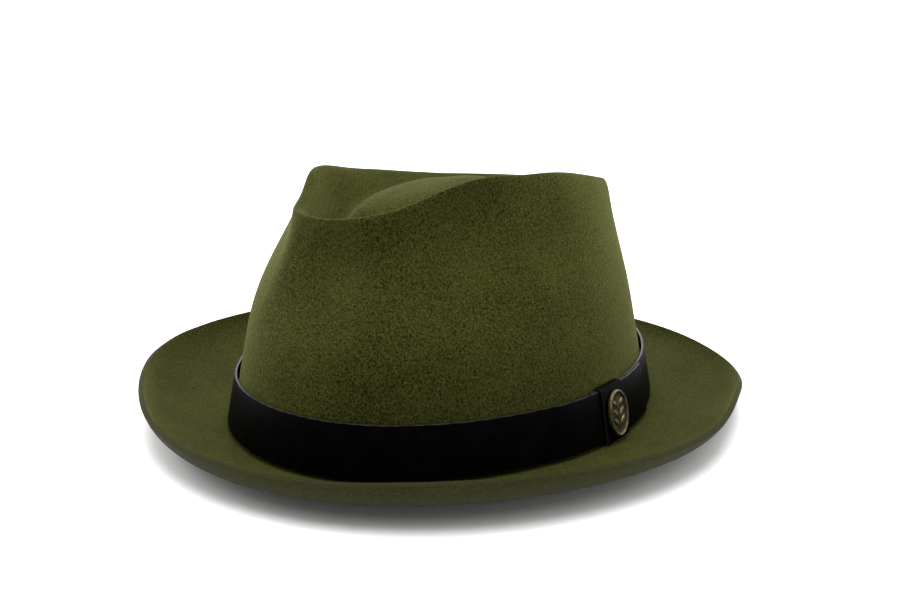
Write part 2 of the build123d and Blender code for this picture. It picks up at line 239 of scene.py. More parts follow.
def control_rings(turn):
    """Reach and height of each ring that steers the felt, from brim edge to crown tip."""
    base = oval_reach(turn, 0)
    brim = ellipse_reach(turn, brim_front_reach, brim_back_reach, brim_half_width)
    rise = brim_curl
    for waves, size in enumerate(brim_curl_waves, 1):
        rise += size * cos(waves * turn)
    corner = swell(turn, corner_angle, corner_width)
    rise += corner_lift * corner
    brim -= corner_lift * (corner + tuck_share * swell(turn, tuck_angle, tuck_width))
    rings = []
    for share, lift in brim_rings:
        rings.append((base + share * (brim - base), lift * rise - (1 - lift) * brim_drop))
    rings.append((base + break_step, -brim_drop))
    rings.append((base, -brim_drop))
    for height in (3.0, cone_height / 3, 2 * cone_height / 3, cone_height):
        rings.append((oval_reach(turn, -wall_lean * height), height))

    top = spread(turn, rim_height_front, rim_height_side, rim_height_back)
    top += rim_lift * bump_at(turn, rim_lift_angle, rim_lift_width)
    rim = ellipse_reach(turn, rim_front, rim_back, rim_half_width, rim_squareness)
    left_press = swell(turn, nose_turn + nose_pinch, left_pinch_width)
    right_press = swell(turn, nose_turn - nose_pinch, right_pinch_width)
    nose = nose_setback * swell(turn, nose_turn, nose_width)
    nose -= nose_crest * swell(turn, nose_turn, crest_width)
    hollow = swell(turn, hollow_angle, hollow_width)
    fullness = back_fullness * bump_at(turn, back_fullness_angle, back_fullness_width)
    for level, share, back, left, right, sunk in shoulder_rings:
        height = level * top
        wall = oval_reach(turn, -wall_lean * height)
        reach = wall + share * (rim - wall)
        reach -= back * nose + pinch_depth * (left * left_press + right * right_press)
        reach -= sunk * hollow_depth * hollow
        reach += share * fullness
        rings.append((reach, height))
    rim -= nose + pinch_depth * (rim_left_pinch * left_press + rim_right_pinch * right_press)
    rings.append((rim, top + 1.5))
    rings.append((0.92 * rim, top - 1.0))
    ahead = max(cos(turn - radians(nose_turn)), 0) ** 1.5     # 1 at the nose, 0 behind
    trough = spread(turn, trough_height_front, trough_height_side, trough_height_back)
    dent_heights = (
        trough + (0.45 + 0.1 * ahead) * (top - trough),
        trough,
        trough + (0.55 + 0.12 * ahead) * (dome_height - trough),
        dome_height - 1.5 - ahead,
    )
    for (share, gain), height in zip(dent_rings, dent_heights):
        rings.append(((share + gain * ahead) * rim, height))
    rings.append((2 * tip_radius, dome_height))
    rings.append((tip_radius, dome_height))
    return rings


# ------------------------------------------------------------------ modelling helpers
def place(point):
    """Row frame position of a point measured from the brim break."""
    return Vector((point.x, point.y + crown_middle, point.z + break_height)) * MM


def edit():
    """Enter edit mode with the whole mesh selected."""
    bpy.ops.object.mode_set(mode="EDIT")
    bpy.ops.mesh.select_mode(type="VERT")
    bpy.ops.mesh.select_all(action="SELECT")


def done():
    bpy.ops.object.mode_set(mode="OBJECT")


# Corners of a flat strip's section: one step through its thickness, one up its height
strip_corners = ((0, 0), (1, 0), (1, 1), (0, 1))


def stack(name, columns, rows, position, closed=False, capped=False):
    """Tube of rows of points: a circle extruded row by row, then laid out by a function.

    closed joins the last row to the first, and capped fills both ends."""
    bpy.ops.object.select_all(action="DESELECT")
    bpy.ops.mesh.primitive_circle_add(vertices=columns, radius=1, fill_type="NOTHING")
    piece = bpy.context.object
    piece.name = piece.data.name = name
    edit()
    for _ in range(rows - 1 + (1 if closed else 0)):
        bpy.ops.mesh.extrude_region_move(TRANSFORM_OT_translate={"value": (0, 0, 1)})
    done()
    for vertex in piece.data.vertices:
        column = round(atan2(vertex.co.y, vertex.co.x) / (2 * pi) * columns) % columns
        row = round(vertex.co.z) % rows if closed else round(vertex.co.z)
        vertex.co = place(position(column, row))
    edit()
    if closed:
        bpy.ops.mesh.remove_doubles(threshold=1e-6)
    if capped:
        bpy.ops.mesh.select_all(action="DESELECT")
        bpy.ops.mesh.select_non_manifold(extend=False)
        bpy.ops.mesh.edge_face_add()
        bpy.ops.mesh.select_all(action="SELECT")
    bpy.ops.mesh.normals_make_consistent(inside=False)
    done()
    bpy.ops.object.shade_smooth()
    return piece


def close_tip(piece):
    """Merge the last row of an open shell into one point, and turn its faces upwards."""
    edit()
    bpy.ops.mesh.remove_doubles(threshold=1e-6)
    bpy.ops.mesh.normals_make_consistent(inside=False)
    done()
    if max(piece.data.polygons, key=lambda face: face.center.z).normal.z < 0:
        edit()
        bpy.ops.mesh.flip_normals()
        done()


def modify(piece, kind, **settings):
    """Add one modifier and apply it."""
    modifier = piece.modifiers.new(kind.title(), kind)
    for name, value in settings.items():
        setattr(modifier, name, value)
    bpy.ops.object.select_all(action="DESELECT")
    bpy.context.view_layer.objects.active = piece
    piece.select_set(True)
    bpy.ops.object.modifier_apply(modifier=modifier.name)


def smooth(piece, levels):
    """Subdivide the mesh and round it off."""
    modify(piece, "SUBSURF", levels=levels, render_levels=levels)


def round_edges(piece, width, segments, angle):
    """Round every edge that is sharper than this many degrees."""
    modify(piece, "BEVEL", width=width * MM, segments=segments, limit_method="ANGLE",
           angle_limit=radians(angle), harden_normals=False)


# ------------------------------------------------------------------ materials
class Value:
    """A shader socket that takes part in Python arithmetic."""

    def __init__(self, graph, socket):
        self.graph, self.socket = graph, socket

    def math(self, operation, *others):
        values = {0: self, **dict(enumerate(others, 1))}
        return self.graph.node("ShaderNodeMath", {"operation": operation}, values)["Value"]

    def __add__(self, other):
        return self.math("ADD", other)

    def __sub__(self, other):
        return self.math("SUBTRACT", other)

    def __mul__(self, other):
        return self.math("MULTIPLY", other)

    __radd__, __rmul__ = __add__, __mul__

    def __rsub__(self, other):
        return self.math("MULTIPLY_ADD", -1.0, other)

    def between(self, low, high):
        """0 below low, 1 above high."""
        settings = {"clamp": True}
        values = {"Value": self, "From Min": low, "From Max": high}
        return self.graph.node("ShaderNodeMapRange", settings, values)["Result"]


class Graph:
    """One material's node tree, ending in its Principled shader."""

    def __init__(self, name, **constants):
        self.material = bpy.data.materials.new(name)
        self.material.use_nodes = True
        self.tree = self.material.node_tree
        self.shader = self.tree.nodes["Principled BSDF"]
        for socket, value in constants.items():
            self.shader.inputs[socket.replace("_", " ")].default_value = value

    def node(self, kind, settings, values):
        made = self.tree.nodes.new(kind)
        for name, value in settings.items():
            setattr(made, name, value)
        for key, value in values.items():
            if isinstance(value, Value):
                self.tree.links.new(value.socket, made.inputs[key])
            else:
                made.inputs[key].default_value = value
        return {output.name: Value(self, output) for output in made.outputs if output.enabled}

    def place(self, scale=(1, 1, 1), turn=(0, 0, 0)):
        here = self.node("ShaderNodeTexCoord", {}, {})["Object"]
        values = {"Vector": here, "Scale": scale, "Rotation": turn}
        return self.node("ShaderNodeMapping", {}, values)["Vector"]

    def height(self):
        """Height above the floor, in metres."""
        here = self.node("ShaderNodeTexCoord", {}, {})["Object"]
        return self.node("ShaderNodeSeparateXYZ", {}, {"Vector": here})["Z"]

    def grain(self, size, detail=3.0, roughness=0.55, stretch=(1, 1, 1), turn=(0, 0, 0)):
        """Noise whose blotches are about this many millimetres across."""
        values = {"Vector": self.place(stretch, turn), "Scale": 1 / (size * MM),
                  "Detail": detail, "Roughness": roughness}
        return self.node("ShaderNodeTexNoise", {}, values)["Fac"]

    def pores(self, size):
        values = {"Vector": self.place(), "Scale": 1 / (size * MM)}
        return self.node("ShaderNodeTexVoronoi", {}, values)["Distance"]

    def waves(self, width, axis):
        """Threads side by side along an axis, each this many millimetres wide."""
        values = {"Vector": self.place(), "Scale": 0.31 / (width * MM), "Distortion": 0.4,
                  "Detail": 1.0, "Detail Scale": 2.0}
        return self.node("ShaderNodeTexWave", {"bands_direction": axis}, values)["Fac"]

    def blend(self, factor, low, high):
        """Colour between two colours, or between a colour and a colour link."""
        made = self.tree.nodes.new("ShaderNodeMix")
        made.data_type = "RGBA"
        factor_socket, low_socket, high_socket = (made.inputs[index] for index in (0, 6, 7))
        for socket, value in ((factor_socket, factor), (low_socket, low), (high_socket, high)):
            if isinstance(value, Value):
                self.tree.links.new(value.socket, socket)
            elif isinstance(value, tuple):
                socket.default_value = (*value, 1)
            else:
                socket.default_value = value
        colour = 2
        return Value(self, made.outputs[colour])

    def relief(self, height, depth, strength=1.0):
        values = {"Height": height, "Distance": depth * MM, "Strength": strength}
        self.set("Normal", self.node("ShaderNodeBump", {}, values)["Normal"])

    def set(self, socket, value):
        self.tree.links.new(value.socket, self.shader.inputs[socket])


def wool_felt():
    """Olive wool felt: short brushed fibres in soft light and dark clumps, and painted shade that
    darkens the brim.
    """
    felt = Graph("wool_felt", Roughness=0.95, Sheen_Weight=0.2, Sheen_Roughness=0.38,
                 Sheen_Tint=(0.70, 0.74, 0.24, 1), Specular_IOR_Level=0.04)
    # the third colour is painted shade for the brim, darker where the crown shades it
    dark, light, painted_brim_shade = (0.0050, 0.0052, 0.0004), (0.052, 0.054, 0.0108), (0.002, 0.002, 0.0002)
    clumps = felt.grain(0.8, 3, 0.6)
    upright = felt.grain(0.55, 2, 0.6, (1, 1, 0.35))
    sideways = felt.grain(0.55, 2, 0.6, (0.35, 1, 1))
    fibres = upright * 0.5 + sideways * 0.5
    clouds = felt.grain(28, 2, 0.5)
    # painted shade: a mask that is 1 low down on the brim and fades out higher up
    brim_shade_mask = 1 - felt.height().between(0.018, 0.027)
    shade = (clumps - 0.5) * 2.4 + (fibres - 0.5) * 2.4 + (clouds - 0.5) * 0.5 + 0.5
    nap = felt.blend(shade.between(0.0, 1.0), dark, light)
    felt.set("Base Color", felt.blend(brim_shade_mask * 0.28, nap, painted_brim_shade))   # painted shade: the brim is coloured darker where the crown shades it
    felt.relief(clumps * 0.6 + fibres, 0.55, 0.9)
    return felt.material


def felt_inside():
    """Underside of the felt: close and flat, and coloured darker than the brushed face as painted
    shade.
    """
    felt = Graph("felt_inside", Roughness=0.95, Sheen_Weight=0.05, Specular_IOR_Level=0.08)
    # painted shade: the light colour is darker than the brushed face's
    dark, light = (0.0055, 0.0057, 0.0006), (0.034, 0.0352, 0.0065)
    clumps = felt.grain(0.9, 4, 0.6)
    felt.set("Base Color", felt.blend(clumps.between(0.25, 0.75), dark, light))
    felt.relief(clumps, 0.25, 0.6)
    return felt.material


def felt_cut():
    """The raw cut edge of the brim, coloured darker than the brushed face as painted shade."""
    cut = Graph("felt_cut_edge", Roughness=0.95, Sheen_Weight=0.08, Sheen_Roughness=0.5,
                Sheen_Tint=(0.7, 0.72, 0.42, 1), Specular_IOR_Level=0.1)
    # painted shade: these colours are darker than the brushed face's
    dark, light = (0.007, 0.007, 0.0015), (0.024, 0.0245, 0.006)
    clumps = cut.grain(0.6, 3)
    cut.set("Base Color", cut.blend(clumps.between(0.3, 0.7), dark, light))
    cut.relief(clumps, 0.3, 0.8)
    return cut.material


def black_leather():
    """Smooth dyed leather with fine pores and a few paler scuffs."""
    dyed, scuffed = (0.0007,) * 3, (0.0007 * 2.6,) * 3
    hide = Graph("black_leather", Specular_IOR_Level=0.025)
    pores = hide.pores(0.55)
    wear = hide.grain(9, 4)
    hide.set("Base Color", hide.blend(wear.between(0.45, 0.8), dyed, scuffed))
    hide.set("Roughness", wear * 0.25 + 0.38)
    hide.relief(pores + hide.grain(0.3, 2) * 0.5, 0.06, 0.5)
    return hide.material


def leather_edge():
    """Cut and burnished leather edge, coloured a little greyer than its face as a painted
    highlight where the edge catches the light.
    """
    edge = Graph("leather_edge", Roughness=0.5, Specular_IOR_Level=0.22)
    # painted highlight: these colours are lighter than the leather's face
    dark, light = (0.003, 0.003, 0.0027), (0.011, 0.011, 0.0095)
    fibres = edge.grain(0.4, 3)
    edge.set("Base Color", edge.blend(fibres, dark, light))
    edge.relief(fibres, 0.05, 0.5)
    return edge.material


def brown_leather():
    """Soft sweatband leather with a pebbled grain and faint creases."""
    hide = Graph("sweatband_leather", Specular_IOR_Level=0.35)
    dark, light = (0.085, 0.040, 0.018), (0.17, 0.088, 0.043)
    pebbles = hide.pores(1.1)
    tone = hide.grain(12, 4)
    creases = hide.grain(5, 3, 0.5, (1, 1, 0.2))
    hide.set("Base Color", hide.blend(tone.between(0.25, 0.75), dark, light))
    hide.set("Roughness", tone * 0.2 + 0.42)
    hide.relief(pebbles + creases * 0.6, 0.12, 0.6)
    return hide.material


def woven(name, dark, light, thread, sheen=0.2):
    """Cloth of crossed threads, each this many millimetres wide."""
    cloth = Graph(name, Roughness=0.8, Sheen_Weight=sheen, Specular_IOR_Level=0.2)
    height = cloth.waves(thread, "X") * cloth.waves(thread, "Z") + cloth.waves(thread, "Y") * 0.5
    tone = height * 0.6 + cloth.grain(2, 3) * 0.5
    cloth.set("Base Color", cloth.blend(tone.between(0.1, 1.1), dark, light))
    cloth.relief(height, 0.08, 0.7)
    return cloth.material


def satin():
    """Shiny lining satin with its fine crosswise rib."""
    cloth = Graph("lining_satin", Sheen_Weight=0.3, Sheen_Roughness=0.3, Specular_IOR_Level=0.7,
                  Sheen_Tint=(0.9, 0.85, 0.6, 1))
    dark, light = (0.040, 0.034, 0.018), (0.075, 0.064, 0.034)
    tone = cloth.grain(16, 3)
    rib = cloth.grain(0.5, 2, 0.5, (1, 1, 8))
    cloth.set("Base Color", cloth.blend(tone.between(0.3, 0.7), dark, light))
    cloth.set("Roughness", rib * 0.2 + 0.28)
    cloth.relief(rib, 0.04, 0.5)
    return cloth.material


def sewing_thread():
    """Twisted cotton thread."""
    thread = Graph("sewing_thread", Roughness=0.6, Sheen_Weight=0.3, Specular_IOR_Level=0.3)
    dark, light = (0.10, 0.085, 0.05), (0.22, 0.19, 0.12)
    twist = thread.grain(0.35, 2, 0.5, (1, 1, 3), (0.5, 0.4, 0))
    thread.set("Base Color", thread.blend(twist.between(0.3, 0.7), dark, light))
    thread.relief(twist, 0.08, 0.6)
    return thread.material


def plastic():
    """Plain off-white extruded plastic."""
    reed = Graph("reed_plastic", Roughness=0.4, Specular_IOR_Level=0.5)
    dark, light = (0.55, 0.53, 0.46), (0.66, 0.64, 0.57)
    reed.set("Base Color", reed.blend(reed.grain(20, 2), dark, light))
    return reed.material


def brass(name, dark, light, shine):
    """Aged cast brass: tarnish in blotches over a worn, finely pitted face."""
    metal = Graph(name, Specular_IOR_Level=0.5)
    tarnish = metal.grain(2.2, 4, 0.65)
    pits = metal.grain(0.35, 3)
    metal.set("Base Color", metal.blend(tarnish.between(0.35, 0.65), dark, light))
    metal.set("Metallic", tarnish.between(0.2, 0.5) * 0.25 + shine)
    metal.set("Roughness", pits * 0.3 + 0.32)
    metal.relief(pits + tarnish * 0.5, 0.08, 0.5)
    return metal.material


FELT, FELT_INSIDE, FELT_CUT = wool_felt(), felt_inside(), felt_cut()
LEATHER, EDGE = black_leather(), leather_edge()
SWEAT_LEATHER, THREAD, SATIN, PLASTIC = brown_leather(), sewing_thread(), satin(), plastic()
BINDING = woven("binding_tape", (0.012, 0.011, 0.008), (0.055, 0.05, 0.036), 0.5)
RIBBON = woven("ribbon", (0.006, 0.006, 0.005), (0.03, 0.028, 0.022), 0.7, 0.4)
BRASS_WORN = brass("brass_worn", (0.060, 0.048, 0.018), (0.235, 0.190, 0.080), 0.6)
BRASS_DARK = brass("brass_tarnished", (0.010, 0.009, 0.005), (0.045, 0.036, 0.016), 0.35)


# ------------------------------------------------------------------ felt
def felt_piece():
    """Crown and brim in one: control rings smoothed, given their thickness and cut edge."""
    columns = 96
    ring_count = len(control_rings(0))
    brim_count = len(brim_rings)
    tighten = 1 + (2 * pi / columns) ** 2 / 6     # smoothing draws a ring in by this share
    tables = [control_rings(2 * pi * column / columns) for column in range(columns)]

    def position(column, row):
        turn = 2 * pi * column / columns
        reach, height = tables[column][row] if row < ring_count else (0, dome_height)
        reach *= tighten
        point = Vector((reach * sin(turn), -reach * cos(turn), height))
        upper = min(max((height - shaped_from) / shaped_span, 0), 1)
        uneven = left_lift * max(sin(turn), 0)
        uneven -= right_drop * swell(turn, right_drop_angle, right_drop_width)
        point.z += uneven * upper * min(reach / shaped_reach, 1)
        ripple = noise.noise(point / ripple_size) * hand_ripple
        if upper:
            point += Vector((sin(turn), -cos(turn), 0)) * ripple * 2 * upper
        elif row < brim_count:
            point.z += ripple * (1 - row / brim_count)
        return point

    felt = stack("felt", columns, ring_count + 1, position)
    close_tip(felt)
    smooth(felt, 2)
    for material in (FELT, FELT_INSIDE, FELT_CUT):
        felt.data.materials.append(material)
    modify(felt, "SOLIDIFY", thickness=felt_thickness * MM, offset=-1, material_offset=1,
           material_offset_rim=2)
    round_edges(felt, 0.45, 2, 60)
    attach(felt, "hat")
    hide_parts("felt_body")


# ------------------------------------------------------------------ band
def band_piece():
    """One leather strip laid round the crown, stepping out over its own inner end."""
    stations = 230

    def position(column, row):
        heading = inner_end + (tail_end - inner_end) * row / (stations - 1)
        climb = min(max((heading - step_start) / (step_end - step_start), 0), 1)
        offset = band_inside + tail_step * climb * climb * (3 - 2 * climb)
        outside, high = strip_corners[column]
        height = band_low + high * band_height
        return oval_point(heading, offset + outside * band_thickness, height)

    band = stack("band", 4, stations, position, capped=True)
    dress(band, lambda face: abs(face.normal.z) > 0.8)
    round_edges(band, 0.3, 3, 40)
    bpy.ops.object.shade_smooth_by_angle(angle=radians(40))
    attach(band, "hat")
    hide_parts("hat_band")


# ------------------------------------------------------------------ keeper and badge
def dress(piece, face_is_edge):
    """Leather on a piece, and its cut edge, coloured lighter as a painted highlight, on the faces
    that the test picks.
    """
    piece.data.materials.append(LEATHER)
    piece.data.materials.append(EDGE)
    for face in piece.data.polygons:
        if face_is_edge(face):
            face.material_index = 1


def rounded_box(half_width, half_height, radius, steps=4):
    """Points round a box with rounded corners, anticlockwise from the lower right."""
    points = []
    for corner, (side, end) in enumerate(((1, -1), (1, 1), (-1, 1), (-1, -1))):
        for step in range(steps + 1):
            angle = radians(90 * (corner - 1) + 90 * step / steps)
            points.append((side * (half_width - radius) + radius * cos(angle),
                           end * (half_height - radius) + radius * sin(angle)))
    return points


def keeper_piece():
    """Leather loop round both layers of the band: thick in front, thin behind."""
    low = band_low - running_gap
    high = band_high + running_gap
    middle = (low + high) / 2
    outer = rounded_box((keeper_outside - keeper_inside) / 2, (high - low) / 2 + keeper_edge,
                        keeper_corner)
    inner_low, inner_high = keeper_inside + keeper_back, keeper_window
    inner = rounded_box((inner_high - inner_low) / 2, (high - low) / 2, window_corner)
    half_turn = degrees(keeper_width / 2 / (side_radius + keeper_outside))
    stations = 9

    def position(column, row):
        outside = row < stations
        across = row if outside else 2 * stations - 1 - row
        heading = keeper_angle + half_turn * (2 * across / (stations - 1) - 1)
        profile, centre = (outer, (keeper_inside + keeper_outside) / 2) if outside else (
            inner, (inner_low + inner_high) / 2)
        offset, up = profile[column]
        return oval_point(heading, centre + offset, middle + up)

    keeper = stack("keeper", len(outer), 2 * stations, position, closed=True)
    tangent = Vector((-sin(radians(keeper_angle)), cos(radians(keeper_angle)), 0))
    dress(keeper, lambda face: abs(face.normal.dot(tangent)) > 0.8)
    round_edges(keeper, 0.28, 3, 50)
    bpy.ops.object.shade_smooth_by_angle(angle=radians(40))
    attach(keeper, "keeper")
    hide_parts("band_keeper")


def on_badge(across, up, out):
    """Point on the badge's own leaning plane: towards the back, upwards and outwards."""
    heading = radians(keeper_angle)
    height = (band_low + band_high) / 2
    reach = side_radius + keeper_outside - wall_lean * height
    origin = Vector((reach * cos(heading) - side_centre, reach * sin(heading), height))
    along = Vector((-sin(heading), cos(heading), 0))
    outward = Vector((cos(lean_angle) * cos(heading), cos(lean_angle) * sin(heading),
                      sin(lean_angle)))
    upward = outward.cross(along)
    return place(origin + along * across + upward * up + outward * out)


def shaped(primitive, name, position, **settings):
    """A primitive of unit size whose points are then laid out by a function."""
    bpy.ops.object.select_all(action="DESELECT")
    primitive(**settings)
    piece = bpy.context.object
    piece.name = piece.data.name = name
    for vertex in piece.data.vertices:
        vertex.co = position(vertex.co)
    edit()
    bpy.ops.mesh.normals_make_consistent(inside=False)
    done()
    bpy.ops.object.shade_smooth()
    return piece


def join(pieces, name):
    """Make one piece of several."""
    bpy.ops.object.select_all(action="DESELECT")
    for piece in pieces:
        piece.select_set(True)
    bpy.context.view_layer.objects.active = pieces[0]
    bpy.ops.object.join()
    whole = bpy.context.object
    whole.name = whole.data.name = name
    return whole


def badge_piece():
    """Oval cast badge: rolled rim, sunk field, and a sprig with three pairs of leaves."""
    top = badge_seat + badge_plate + badge_relief
    field = badge_seat + badge_plate
    columns = 72
    profile = (                              # inwards from the edge, outwards from the keeper
        (0.35, badge_seat), (0, badge_seat + 0.3), (0, top - 0.55), (0.16, top - 0.16),
        (0.5, top), (0.85, top - 0.14), (badge_rim, field + 0.2), (1.35, field),
        (3.5, field + 0.06),
    )

    def plate_point(column, row):
        inward, out = profile[row]
        angle = 2 * pi * column / columns
        across, up = badge_width / 2 - inward, badge_height / 2 - inward
        return across * cos(angle), up * sin(angle), out

    def position(column, row):
        point = on_badge(*plate_point(column, row)) / MM
        return Vector((point.x, point.y - crown_middle, point.z - break_height))

    plate = stack("badge", columns, len(profile), position, capped=True)
    plate.data.materials.append(BRASS_WORN)
    plate.data.materials.append(BRASS_DARK)
    centre = on_badge(0, 0, 0)
    out = (on_badge(0, 0, 1) - centre).normalized()
    for face in plate.data.polygons:
        sunk = (face.center - centre).dot(out) / MM < field + 0.22
        if sunk and face.normal.dot(out) > 0.6:
            face.material_index = 1

    parts = [plate]

    def leaf(side, level):
        half_length, tilt = leaf_half_length - leaf_shrink * level, radians(leaf_tilt)

        def position(point):
            taper = 1 - 0.55 * max(point.x, 0) ** 2
            length, width = point.x * half_length, point.y * leaf_half_width * taper
            across = side * (leaf_reach + length * cos(tilt) - width * sin(tilt))
            up = leaf_spacing * level + leaf_rise + length * sin(tilt) + width * cos(tilt)
            crease = 0.16 * exp(-((point.y / 0.25) ** 2)) if point.z > 0 else 0
            return on_badge(across, up, field - 0.05 + max(point.z, -0.1) * 0.62 - crease)

        return shaped(bpy.ops.mesh.primitive_uv_sphere_add, "leaf", position,
                      segments=20, ring_count=12)

    for level in (-1, 0, 1):
        for side in (-1, 1):
            parts.append(leaf(side, level))
    parts.append(shaped(
        bpy.ops.mesh.primitive_uv_sphere_add, "stem",
        lambda point: on_badge(point.x * stem_half_width, point.z * stem_half_height,
                               field - 0.1 + point.y * stem_depth),
        segments=16, ring_count=24))
    for end in (-1, 1):
        parts.append(shaped(
            bpy.ops.mesh.primitive_cylinder_add, "prong",
            lambda point: on_badge(point.x * prong_radius,
                                   end * prong_spacing / 2 + point.y * prong_radius,
                                   prong_middle + point.z * prong_half),
            vertices=24))
    for part in parts[1:]:
        part.data.materials.append(BRASS_WORN)
    badge = join(parts, "badge")
    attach(badge, "keeper")
    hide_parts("badge")


# ------------------------------------------------------------------ inside
def turned_oval(share_round, offset, height):
    """Oval point at a share of the way round from the back, evenly spaced by heading."""
    return oval_point(360 * share_round + 90, offset, height)


def sweatband_piece():
    """One leather strip inside the felt, butted at the back over the seam tape."""
    stations = 220
    half_gap = degrees(seam_gap / 2 / (crown_end_radius - sweat_inside))

    def position(column, row):
        heading = 90 + half_gap + (360 - 2 * half_gap) * row / (stations - 1)
        inside, high = strip_corners[column]
        waver = top_waver * (1 + noise.noise(Vector((row / 7, 0, 0))))
        height = sweat_low + high * (sweat_height - waver)
        return oval_point(heading, -sweat_depth - inside * sweat_thickness, height)

    strip = stack("sweatband", 4, stations, position, capped=True)
    strip.data.materials.append(SWEAT_LEATHER)
    round_edges(strip, 0.22, 2, 40)
    bpy.ops.object.shade_smooth_by_angle(angle=radians(40))
    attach(strip, "hat")
    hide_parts("sweatband")


def stitches_piece():
    """One row of stitches: a thread that rises over the leather and dips back through it."""
    girth = 2 * pi * (crown_half_length + crown_half_width) / 2 - 2 * pi * sweat_inside
    dips = (stitch_dip, stitch_shoulder, 0, 0, 0, stitch_shoulder)     # along one stitch
    columns = round(girth / stitch_length) * len(dips)
    sides = 8

    def position(column, row):
        angle = 2 * pi * row / sides
        dip = dips[column % len(dips)]
        offset = -sweat_inside - layer_gap - thread_radius + dip + thread_radius * cos(angle)
        return turned_oval(column / columns, offset, thread_height + thread_radius * sin(angle))

    row = stack("sweatband_stitches", columns, sides, position, closed=True)
    row.data.materials.append(THREAD)
    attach(row, "hat")
    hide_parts("sweatband_stitching")


def binding_piece():
    """Cloth tape folded round the reed and sewn up behind the sweatband."""
    tube = reed_radius + layer_gap / 2 + binding_thickness
    flange_low = 0.6                         # the flange starts this far above the tube's middle
    columns, sides = 320, 14

    def tube_position(column, row):
        angle = 2 * pi * row / sides
        gather = gather_depth * sin(2 * pi * column * tape_gathers / columns)
        offset = -binding_depth - tube + (tube + gather) * cos(angle)
        return turned_oval(column / columns, offset, binding_low + (tube + gather) * sin(angle))

    def flange_position(column, row):
        outer, high = strip_corners[row]
        offset = -binding_depth - binding_thickness + outer * binding_thickness
        height = binding_low + flange_low + high * (binding_height - flange_low)
        return turned_oval(column / columns, offset, height)

    binding = join([stack("tube", columns, sides, tube_position, closed=True),
                    stack("flange", columns, 4, flange_position, closed=True)], "reed_binding")
    binding.data.materials.append(BINDING)
    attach(binding, "hat")
    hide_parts("reed_binding")


def seam_tape_piece():
    """Cloth tape up the back, behind the butted ends of the sweatband."""
    half_turn = degrees(tape_width / 2 / (crown_end_radius - sweat_depth))
    low, high = binding_low + binding_height + tape_clearance, sweat_low + sweat_height
    rows = 13

    def position(column, row):
        inner, side = ((0, -1), (1, -1), (1, 1), (0, 1))[column]
        height = low + (high - low) * row / (rows - 1)
        depth = sweat_depth - layer_gap + (layer_gap / 2 if inner else -tape_thickness)
        return oval_point(90 + side * half_turn, -depth, height)

    tape = stack("sweatband_seam_tape", 4, rows, position, capped=True)
    tape.data.materials.append(BINDING)
    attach(tape, "hat")
    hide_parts("sweatband_seam_tape")


def bow_piece():
    """Small flat ribbon bow over the seam: two loops through a knot."""
    depth = sweat_inside + 4 * thread_radius
    middle = thread_height + bow_rise
    columns = 96

    def loops(column, row):
        angle = 2 * pi * column / columns
        across = bow_loop * sin(angle)
        up = bow_height / 2 * sin(2 * angle) + bow_sag * abs(across)
        thin, deep = ((-1, -1), (1, -1), (1, 1), (-1, 1))[row]
        gathered = 0.6 if abs(sin(angle)) < 0.3 else 1        # the ribbon narrows at the knot
        up += thin * bow_ribbon / 2 * gathered
        inward = (deep + 1) * bow_ribbon
        height = middle + up
        return Vector((-across, crown_half_length - depth - wall_lean * height - inward, height))

    bow = stack("loops", columns, 4, loops, closed=True)
    round_edges(bow, 0.15, 2, 40)
    knot_back = crown_half_length - depth - wall_lean * middle - bow_ribbon
    knot = shaped(
        bpy.ops.mesh.primitive_uv_sphere_add, "knot",
        lambda point: place(Vector((
            knot_half_width * point.x, knot_back + knot_half_depth * point.y,
            middle + knot_half_height * point.z))),
        segments=24, ring_count=16)
    bow = join([bow, knot], "sweatband_bow")
    bow.data.materials.append(RIBBON)
    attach(bow, "hat")
    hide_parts("sweatband_bow")


